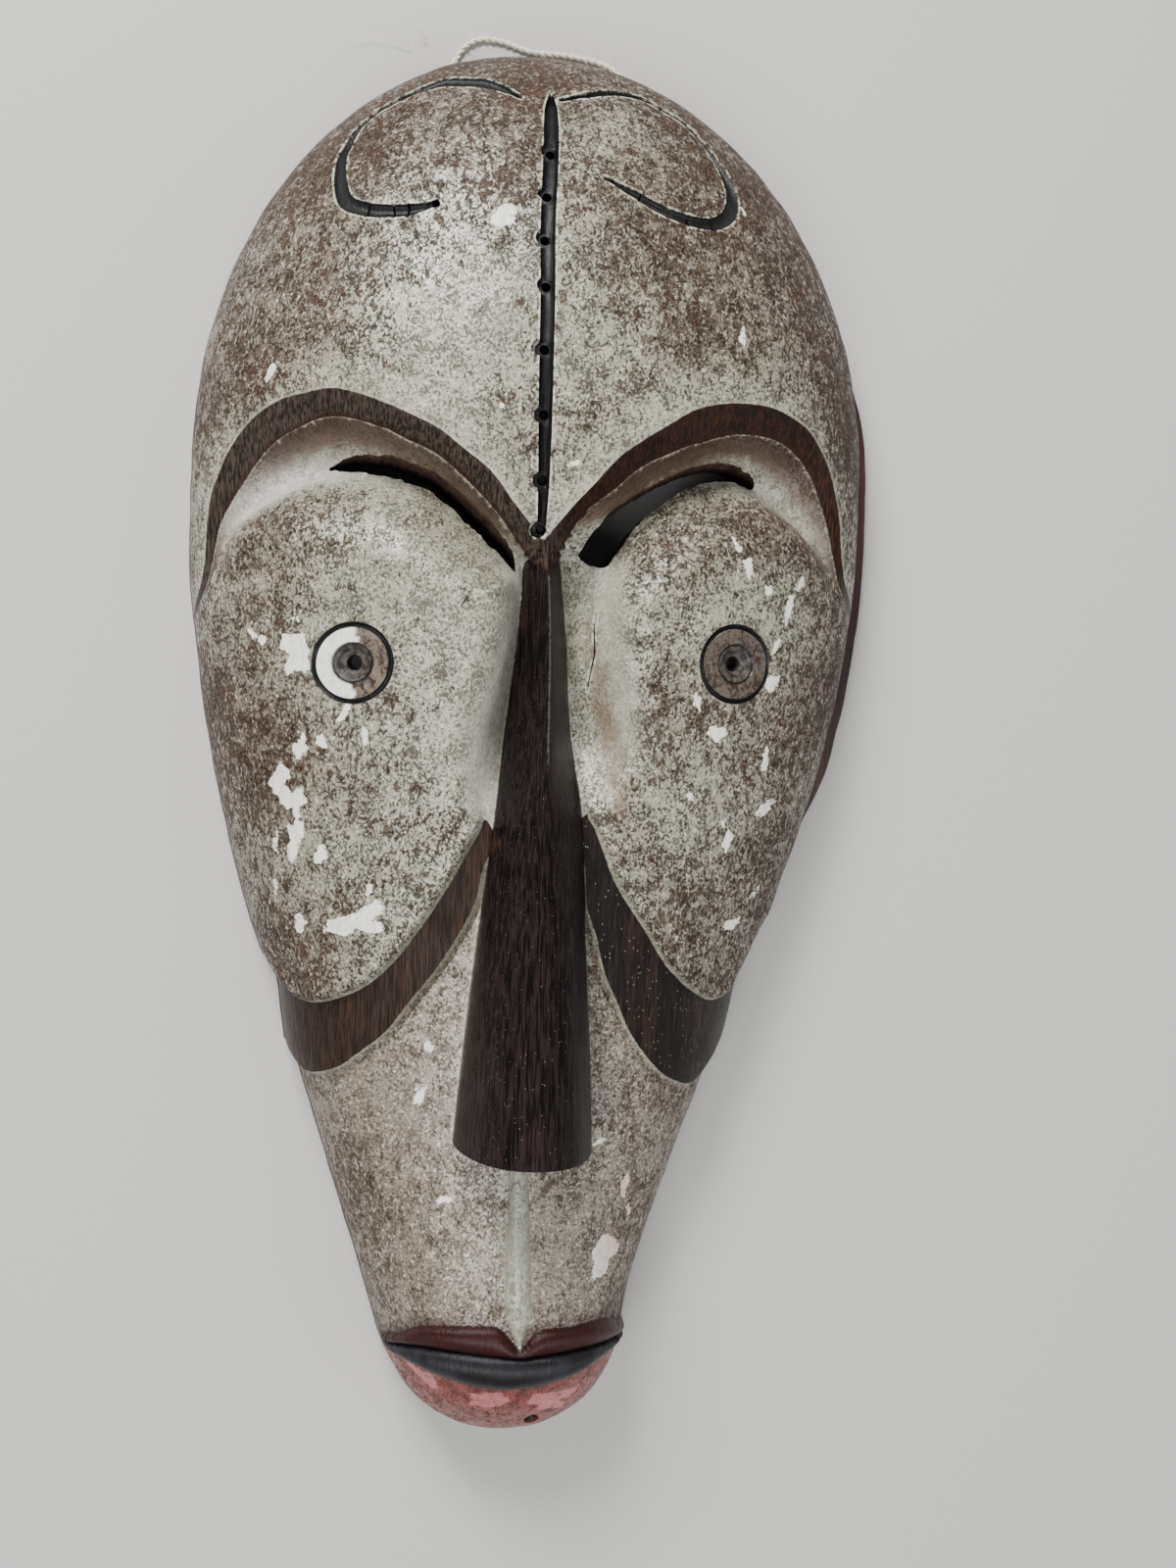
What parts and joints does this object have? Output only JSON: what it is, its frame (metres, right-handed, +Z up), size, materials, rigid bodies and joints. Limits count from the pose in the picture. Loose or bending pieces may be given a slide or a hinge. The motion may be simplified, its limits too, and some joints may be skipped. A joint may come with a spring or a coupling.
{
  "type": "carved wooden mask",
  "caption": "Long hollow carved wooden face mask with domed forehead, arched brows over eye slits, long nose and a hanging twine, lying on its rim.",
  "frame": {"origin": "centre of the mask's footprint, on the plane of its rim", "axes": "+Z up through the face as it lies on its rim, +Y towards the forehead, +X to the viewer's right"},
  "size_m": [0.242, 0.4945, 0.1052],
  "materials": {
    "weathered_kaolin_wood": "pale grey green clay paint, worn and speckled, over dark brown polished wood",
    "natural_twine": "matte twisted natural fibre"
  },
  "bodies": {
    "root": {"carved_mask": "weathered_kaolin_wood", "hanging_twine": "natural_twine", "twine_knot_left": "natural_twine", "twine_knot_right": "natural_twine"}
  },
  "joints": []
}
